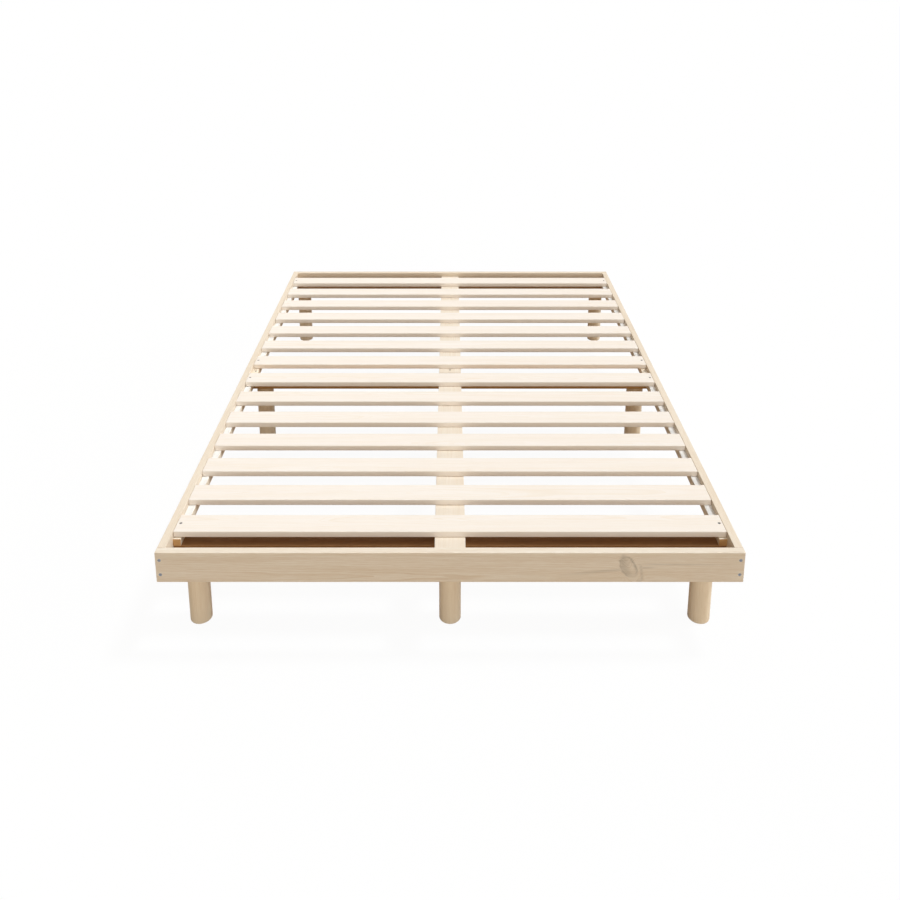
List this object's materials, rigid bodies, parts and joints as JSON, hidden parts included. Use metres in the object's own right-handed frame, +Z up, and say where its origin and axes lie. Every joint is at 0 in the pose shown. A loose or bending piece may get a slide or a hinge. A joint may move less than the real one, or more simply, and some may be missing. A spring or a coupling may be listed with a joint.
{
  "type": "slatted bed base",
  "caption": "Low slatted base for a double bed in pale solid pine: boards linked by webbing lie flush in a plain screwed frame with ledgers, a centre beam, cross members and turned legs.",
  "frame": {"origin": "on the floor, under the middle of the bed", "axes": "+X across the bed to the right as seen from the foot, +Y from the foot to the head, +Z up"},
  "size_m": [1.4, 1.9, 0.272],
  "materials": {
    "pine_rail": "planed, pale, matt",
    "pine_slat": "planed, pale, matt",
    "pine_support": "planed, matt",
    "pine_leg": "turned, matt",
    "webbing": "woven, matt",
    "zinc_steel": "zinc plated"
  },
  "bodies": {
    "root": {"foot_rail": "pine_rail", "head_rail": "pine_rail", "side_rail_left": "pine_rail", "side_rail_right": "pine_rail", "ledger_left": "pine_rail", "ledger_right": "pine_rail", "centre_beam_foot": "pine_rail", "centre_beam_head": "pine_rail", "cross_member_foot": "pine_support", "cross_member_middle": "pine_support", "cross_member_head": "pine_support", "leg_foot_left": "pine_leg", "leg_foot_centre": "pine_leg", "leg_foot_right": "pine_leg", "leg_middle_left": "pine_leg", "leg_middle_centre": "pine_leg", "leg_middle_right": "pine_leg", "leg_head_left": "pine_leg", "leg_head_centre": "pine_leg", "leg_head_right": "pine_leg", "slat_01": "pine_slat", "slat_02": "pine_slat", "slat_03": "pine_slat", "slat_04": "pine_slat", "slat_05": "pine_slat", "slat_06": "pine_slat", "slat_07": "pine_slat", "slat_08": "pine_slat", "slat_09": "pine_slat", "slat_10": "pine_slat", "slat_11": "pine_slat", "slat_12": "pine_slat", "slat_13": "pine_slat", "slat_14": "pine_slat", "webbing_foot_left": "webbing", "webbing_foot_right": "webbing", "webbing_head_left": "webbing", "webbing_head_right": "webbing", "rail_screws": "zinc_steel", "ledger_screws": "zinc_steel", "cross_member_screws": "zinc_steel", "beam_screws": "zinc_steel", "slat_screws": "zinc_steel", "webbing_staples": "zinc_steel", "leg_bolts": "zinc_steel", "leg_nuts": "zinc_steel"}
  },
  "joints": []
}
